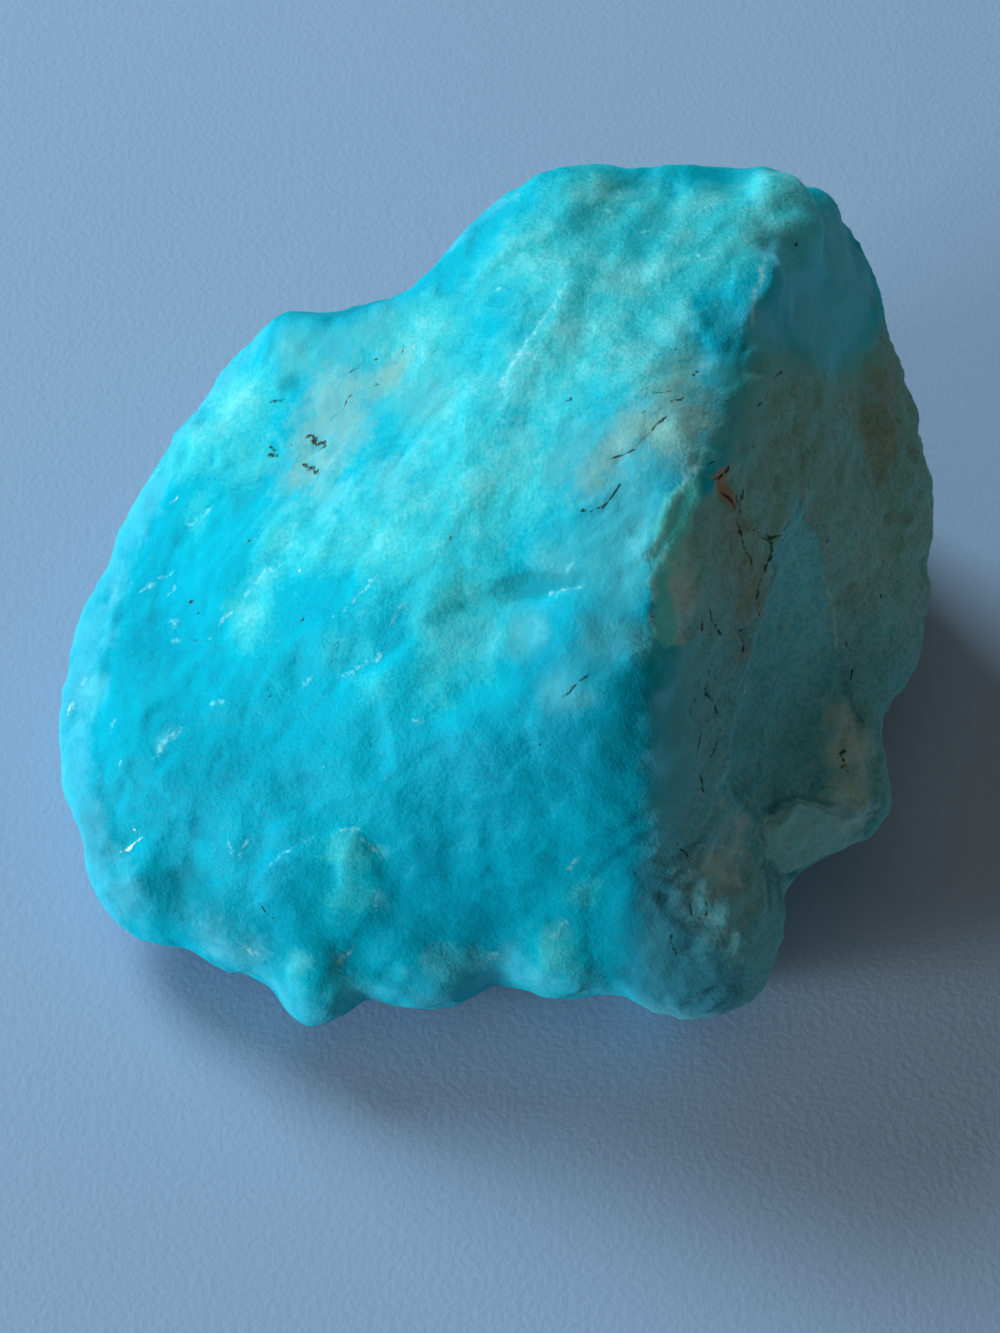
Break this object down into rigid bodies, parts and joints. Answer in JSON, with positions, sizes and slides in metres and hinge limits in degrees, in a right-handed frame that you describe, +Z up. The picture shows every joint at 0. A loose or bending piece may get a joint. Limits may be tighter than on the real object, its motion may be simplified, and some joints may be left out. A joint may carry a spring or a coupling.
{
  "type": "raw hemimorphite stone",
  "caption": "Rough broken lump of blue mineral with a sloping face, a ridge, a shelf and rounded lobes, lying on a flat patch.",
  "frame": {"origin": "middle of the bounding box, on the ground plane that the stone lies on", "axes": "+Z up, +X to the right of the sloping face, across the stone's longest extent, +Y to the back"},
  "size_m": [0.0626, 0.0552, 0.0381],
  "materials": {
    "hemimorphite": "raw broken mineral, waxy, slightly translucent"
  },
  "bodies": {
    "root": {"hemimorphite": "hemimorphite"}
  },
  "joints": []
}
